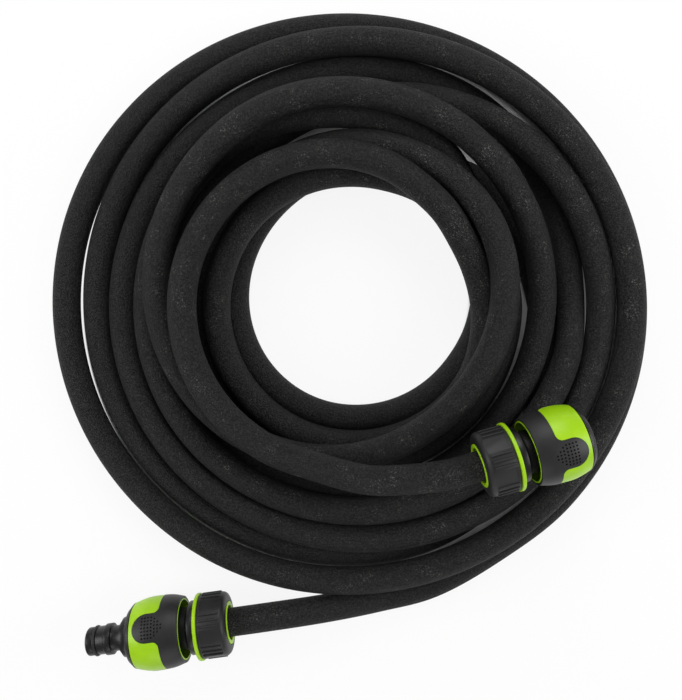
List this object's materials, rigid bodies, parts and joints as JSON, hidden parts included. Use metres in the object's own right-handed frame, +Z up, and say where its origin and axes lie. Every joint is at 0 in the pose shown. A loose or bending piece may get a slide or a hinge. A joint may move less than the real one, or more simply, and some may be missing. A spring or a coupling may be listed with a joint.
{
  "type": "coiled soaker hose",
  "caption": "Porous garden hose wound in a loose round coil, with a push-fit connector on each end and a double male coupler in one of them.",
  "frame": {"origin": "on the floor, under the middle of the box round the two connectors and the coupler, without the hose", "axes": "+Z up from the floor that the coil lies on, +X along the longest extent of the two connectors taken together, towards the upper one"},
  "size_m": [0.3571, 0.3881, 0.0769],
  "materials": {
    "hose_rubber": "matt, porous",
    "black_plastic": "satin",
    "lime_plastic": "satin",
    "soft_grip": "soft-touch",
    "collet_plastic": "satin",
    "spring_steel": "drawn wire",
    "seal_rubber": "smooth"
  },
  "bodies": {
    "hose": {"hose_coil": "hose_rubber", "hose_tail": "hose_rubber", "hose_top_end": "hose_rubber", "inlet_body": "black_plastic", "inlet_spring": "spring_steel", "outlet_body": "black_plastic", "outlet_spring": "spring_steel"},
    "inlet_collet": {"inlet_collet": "collet_plastic"},
    "inlet_nut": {"inlet_nut": "lime_plastic", "inlet_nut_grip": "soft_grip"},
    "inlet_sleeve": {"inlet_sleeve": "lime_plastic", "inlet_sleeve_grip": "soft_grip", "inlet_sleeve_rim": "black_plastic"},
    "inlet_jaw_1": {"inlet_jaw_1": "black_plastic"},
    "inlet_jaw_2": {"inlet_jaw_2": "black_plastic"},
    "inlet_jaw_3": {"inlet_jaw_3": "black_plastic"},
    "outlet_collet": {"outlet_collet": "collet_plastic"},
    "outlet_nut": {"outlet_nut": "lime_plastic", "outlet_nut_grip": "soft_grip"},
    "outlet_sleeve": {"outlet_sleeve": "lime_plastic", "outlet_sleeve_grip": "soft_grip", "outlet_sleeve_rim": "black_plastic"},
    "outlet_jaw_1": {"outlet_jaw_1": "black_plastic"},
    "outlet_jaw_2": {"outlet_jaw_2": "black_plastic"},
    "outlet_jaw_3": {"outlet_jaw_3": "black_plastic"},
    "coupler": {"coupler_body": "black_plastic", "coupler_seal_inner": "seal_rubber", "coupler_seal_outer": "seal_rubber"}
  },
  "joints": [
    {"name": "inlet_collet_shift", "type": "slide", "parent": "hose", "child": "inlet_collet", "axis": [-0.9623, -0.2669, 0.0523], "range_m": [0, 0.006]},
    {"name": "inlet_nut_turn", "type": "hinge", "parent": "inlet_collet", "child": "inlet_nut", "pos_m": [0.09118, 0.04921, 0.05742], "axis": [-0.9623, -0.2669, 0.0523], "range_deg": [0, 720]},
    {"name": "inlet_sleeve_pull", "type": "slide", "parent": "hose", "child": "inlet_sleeve", "axis": [-0.9623, -0.2669, 0.0523], "range_m": [0, 0.005], "stiffness_N_per_m": 600, "springref_m": -0.002, "deforming": ["inlet_spring"]},
    {"name": "inlet_jaw_1_open", "type": "slide", "parent": "hose", "child": "inlet_jaw_1", "axis": [-0.0871, 0.1203, -0.9889], "range_m": [0, 0.0016]},
    {"name": "inlet_jaw_2_open", "type": "slide", "parent": "hose", "child": "inlet_jaw_2", "axis": [-0.1795, 0.768, 0.6148], "range_m": [0, 0.0016]},
    {"name": "inlet_jaw_3_open", "type": "slide", "parent": "hose", "child": "inlet_jaw_3", "axis": [0.2667, -0.8882, 0.3741], "range_m": [0, 0.0016]},
    {"name": "outlet_collet_shift", "type": "slide", "parent": "hose", "child": "outlet_collet", "axis": [0.9905, 0.1374, 0], "range_m": [0, 0.006]},
    {"name": "outlet_nut_turn", "type": "hinge", "parent": "outlet_collet", "child": "outlet_nut", "pos_m": [-0.0676, -0.05354, 0.02015], "axis": [0.9905, 0.1374, 0], "range_deg": [0, 720]},
    {"name": "outlet_sleeve_pull", "type": "slide", "parent": "hose", "child": "outlet_sleeve", "axis": [0.9905, 0.1374, 0], "range_m": [0, 0.005], "stiffness_N_per_m": 600, "springref_m": -0.002, "deforming": ["outlet_spring"]},
    {"name": "outlet_jaw_1_open", "type": "slide", "parent": "hose", "child": "outlet_jaw_1", "axis": [0.0687, -0.4953, -0.866], "range_m": [0, 0.0016]},
    {"name": "outlet_jaw_2_open", "type": "slide", "parent": "hose", "child": "outlet_jaw_2", "axis": [0.0687, -0.4953, 0.866], "range_m": [0, 0.0016]},
    {"name": "outlet_jaw_3_open", "type": "slide", "parent": "hose", "child": "outlet_jaw_3", "axis": [-0.1374, 0.9905, 0], "range_m": [0, 0.0016]},
    {"name": "coupler_spin", "type": "hinge", "parent": "hose", "child": "coupler", "pos_m": [-0.10395, -0.05858, 0.02015], "axis": [-0.9905, -0.1374, 0], "continuous": true}
  ],
  "couplings": [
    {"joint": "inlet_collet_shift", "follows": "inlet_nut_turn", "m_per_rad": 0.000477},
    {"joint": "inlet_jaw_1_open", "follows": "inlet_sleeve_pull", "ratio": 0.32},
    {"joint": "inlet_jaw_2_open", "follows": "inlet_sleeve_pull", "ratio": 0.32},
    {"joint": "inlet_jaw_3_open", "follows": "inlet_sleeve_pull", "ratio": 0.32},
    {"joint": "outlet_collet_shift", "follows": "outlet_nut_turn", "m_per_rad": 0.000477},
    {"joint": "outlet_jaw_1_open", "follows": "outlet_sleeve_pull", "ratio": 0.32},
    {"joint": "outlet_jaw_2_open", "follows": "outlet_sleeve_pull", "ratio": 0.32},
    {"joint": "outlet_jaw_3_open", "follows": "outlet_sleeve_pull", "ratio": 0.32}
  ]
}
